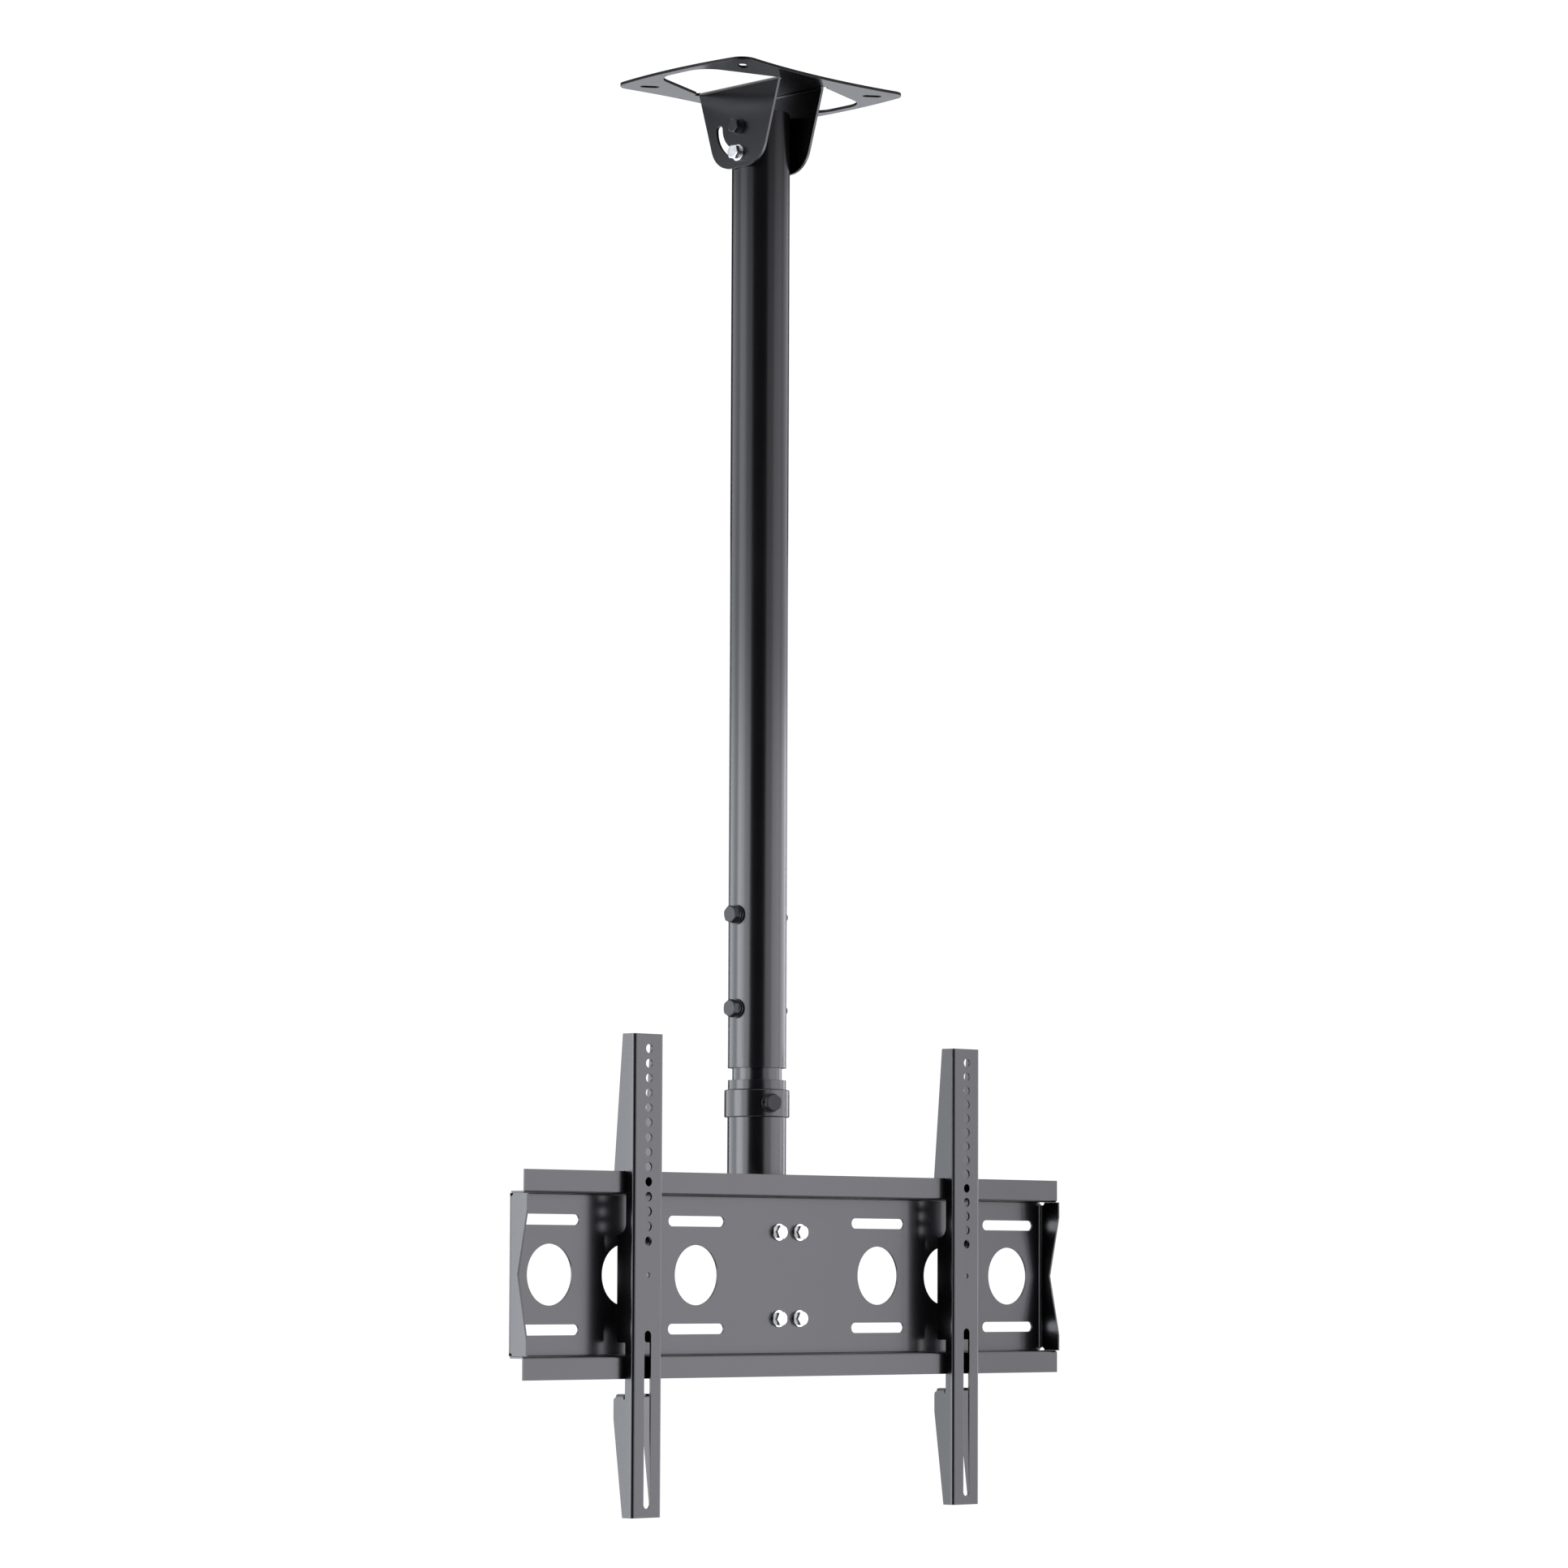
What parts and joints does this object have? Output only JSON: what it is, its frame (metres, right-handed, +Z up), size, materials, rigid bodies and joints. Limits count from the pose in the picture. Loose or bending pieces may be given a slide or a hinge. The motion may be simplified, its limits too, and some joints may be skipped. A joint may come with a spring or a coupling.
{
  "type": "television ceiling mount",
  "caption": "Telescopic ceiling mount: folded ceiling plate, tilting and swivelling pipe, and a slotted plate with hook-on rails that carries a flat television.",
  "frame": {"origin": "middle of the ceiling plate's top face, where it meets the ceiling", "axes": "+Z up out of the ceiling plate, +X to the right of a viewer of the television, screen facing -Y"},
  "size_m": [0.7684, 0.1864, 1.463],
  "materials": {
    "black_powder_coat": "semi-matt",
    "zinc_plated_steel": "bright",
    "black_plated_steel": "satin",
    "bare_steel": "turned",
    "nylon": "moulded"
  },
  "bodies": {
    "ceiling_bracket": {"ceiling_plate": "black_powder_coat", "ceiling_pivot_bolt": "black_plated_steel", "ceiling_pivot_washers": "black_plated_steel", "ceiling_pivot_spring_washer": "black_plated_steel", "ceiling_pivot_nut": "black_plated_steel"},
    "mast": {"outer_pipe": "black_powder_coat", "ceiling_bolt_sleeves": "bare_steel", "ceiling_lock_bolt": "zinc_plated_steel", "ceiling_lock_washers": "zinc_plated_steel", "ceiling_lock_spring_washer": "zinc_plated_steel", "ceiling_lock_nut": "zinc_plated_steel", "lower_guide_bush": "nylon", "height_bolts": "black_plated_steel", "height_washers": "black_plated_steel", "height_spring_washers": "black_plated_steel"},
    "inner_mast": {"inner_tube": "black_powder_coat", "upper_guide_bush": "nylon", "swivel_post": "black_powder_coat", "swivel_retainer_washer": "bare_steel", "swivel_retainer_bolt": "bare_steel"},
    "swivel_head": {"swivel_collar": "black_powder_coat", "lower_pipe": "black_powder_coat", "head_bolt_sleeves": "bare_steel", "swivel_lock_bolt": "black_plated_steel", "swivel_lock_washer": "black_plated_steel", "swivel_lock_spring_washer": "black_plated_steel", "head_lock_bolt": "zinc_plated_steel", "head_lock_washers": "zinc_plated_steel", "head_lock_spring_washer": "zinc_plated_steel", "head_lock_nut": "zinc_plated_steel"},
    "tv_frame": {"tilt_yoke": "black_powder_coat", "head_pivot_bolt": "black_plated_steel", "head_pivot_washers": "black_plated_steel", "head_pivot_spring_washer": "black_plated_steel", "head_pivot_nut": "black_plated_steel", "tv_plate": "black_powder_coat", "plate_bolts": "zinc_plated_steel", "plate_washers": "zinc_plated_steel", "plate_nuts": "zinc_plated_steel"},
    "left_slider": {"left_rail": "black_powder_coat"},
    "right_slider": {"right_rail": "black_powder_coat"}
  },
  "joints": [
    {"name": "ceiling_tilt", "type": "hinge", "parent": "ceiling_bracket", "child": "mast", "pos_m": [0, 0, -0.045], "axis": [1, 0, 0], "range_deg": [0, 90]},
    {"name": "height_slide", "type": "slide", "parent": "mast", "child": "inner_mast", "axis": [0, 0, -1], "range_m": [0, 0.5]},
    {"name": "swivel", "type": "hinge", "parent": "inner_mast", "child": "swivel_head", "pos_m": [0, 0, -1.038], "axis": [0, 0, 1], "continuous": true},
    {"name": "tv_tilt", "type": "hinge", "parent": "swivel_head", "child": "tv_frame", "pos_m": [0, 0, -1.227], "axis": [1, 0, 0], "range_deg": [-5, 15]},
    {"name": "left_rail_slide", "type": "slide", "parent": "tv_frame", "child": "left_slider", "axis": [1, 0, 0], "range_m": [-0.12, 0.13]},
    {"name": "right_rail_slide", "type": "slide", "parent": "tv_frame", "child": "right_slider", "axis": [1, 0, 0], "range_m": [-0.13, 0.12]}
  ]
}
